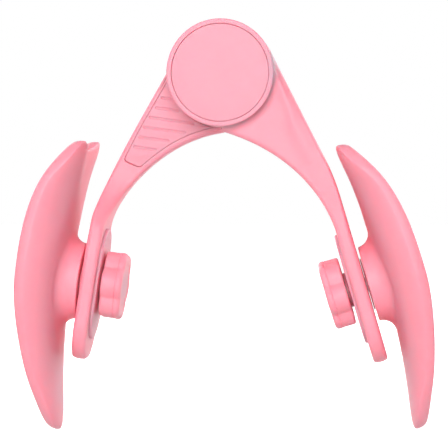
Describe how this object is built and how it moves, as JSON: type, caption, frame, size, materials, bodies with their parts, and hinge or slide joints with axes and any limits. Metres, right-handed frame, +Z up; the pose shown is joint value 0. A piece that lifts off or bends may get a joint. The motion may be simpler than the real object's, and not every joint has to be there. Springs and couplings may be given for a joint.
{
  "type": "thigh trainer",
  "caption": "Squeeze trainer: two curved arms on a round spring hub, each with a ribbed or smooth side and a swivelling saddle-shaped thigh pad held by a lobed knob.",
  "frame": {"origin": "middle of the object's width and depth, level with the lower pad's tip", "axes": "+Z up from the pad tips to the hub, -Y to the front, where the smooth arm and its cap face, +X to that arm's pad"},
  "size_m": [0.2154, 0.084, 0.2171],
  "materials": {
    "soft_touch_pink": "satin soft-touch",
    "soft_liner_pink": "matte moulded foam rubber",
    "zinc_steel": "zinc plated",
    "brass": "turned",
    "white_nylon": "natural nylon",
    "red_rubber": "matte"
  },
  "bodies": {
    "right_arm": {"right_arm": "soft_touch_pink", "right_arm_cover": "soft_touch_pink", "front_cap": "soft_touch_pink", "front_washer": "zinc_steel", "rear_washer": "zinc_steel", "pivot_bolt": "zinc_steel", "pivot_nut": "zinc_steel", "pivot_bush": "white_nylon", "thrust_washer": "white_nylon", "torsion_spring": "zinc_steel"},
    "left_arm": {"left_arm": "soft_touch_pink", "left_arm_cover": "soft_touch_pink", "rear_cap": "soft_touch_pink"},
    "right_pad": {"right_pad_shell": "soft_touch_pink", "right_pad_liner": "soft_liner_pink", "right_pad_bolt": "zinc_steel", "right_friction_washer": "red_rubber"},
    "right_knob_washer": {"right_knob_washer": "soft_touch_pink"},
    "right_knob": {"right_knob": "soft_touch_pink", "right_knob_insert": "brass"},
    "left_pad": {"left_pad_shell": "soft_touch_pink", "left_pad_liner": "soft_liner_pink", "left_pad_bolt": "zinc_steel", "left_friction_washer": "red_rubber"},
    "left_knob_washer": {"left_knob_washer": "soft_touch_pink"},
    "left_knob": {"left_knob": "soft_touch_pink", "left_knob_insert": "brass"}
  },
  "joints": [
    {"name": "arm_hinge", "type": "hinge", "parent": "right_arm", "child": "left_arm", "pos_m": [-0.00283, 0, 0.1892], "axis": [0, -1, 0], "range_deg": [0, 40], "stiffness_Nm_per_rad": 7.1, "springref_deg": -60.16, "deforming": ["torsion_spring"]},
    {"name": "right_pad_swivel", "type": "hinge", "parent": "right_arm", "child": "right_pad", "pos_m": [0.07307, 0, 0.0783], "axis": [0.9578, 0, 0.2874], "continuous": true},
    {"name": "right_knob_advance", "type": "slide", "parent": "right_arm", "child": "right_knob_washer", "axis": [-0.9578, 0, -0.2874], "range_m": [0, 0.00375]},
    {"name": "right_knob_turn", "type": "hinge", "parent": "right_knob_washer", "child": "right_knob", "pos_m": [0.07307, 0, 0.0783], "axis": [-0.9578, 0, -0.2874], "range_deg": [0, 1080]},
    {"name": "left_pad_swivel", "type": "hinge", "parent": "left_arm", "child": "left_pad", "pos_m": [-0.07633, 0, 0.0793], "axis": [-0.9912, 0, 0.1323], "continuous": true},
    {"name": "left_knob_advance", "type": "slide", "parent": "left_arm", "child": "left_knob_washer", "axis": [0.9912, 0, -0.1323], "range_m": [0, 0.00375]},
    {"name": "left_knob_turn", "type": "hinge", "parent": "left_knob_washer", "child": "left_knob", "pos_m": [-0.07633, 0, 0.0793], "axis": [0.9912, 0, -0.1323], "range_deg": [0, 1080]}
  ],
  "couplings": [
    {"joint": "right_knob_advance", "follows": "right_knob_turn", "m_per_rad": 0.00019894},
    {"joint": "left_knob_advance", "follows": "left_knob_turn", "m_per_rad": 0.00019894}
  ]
}
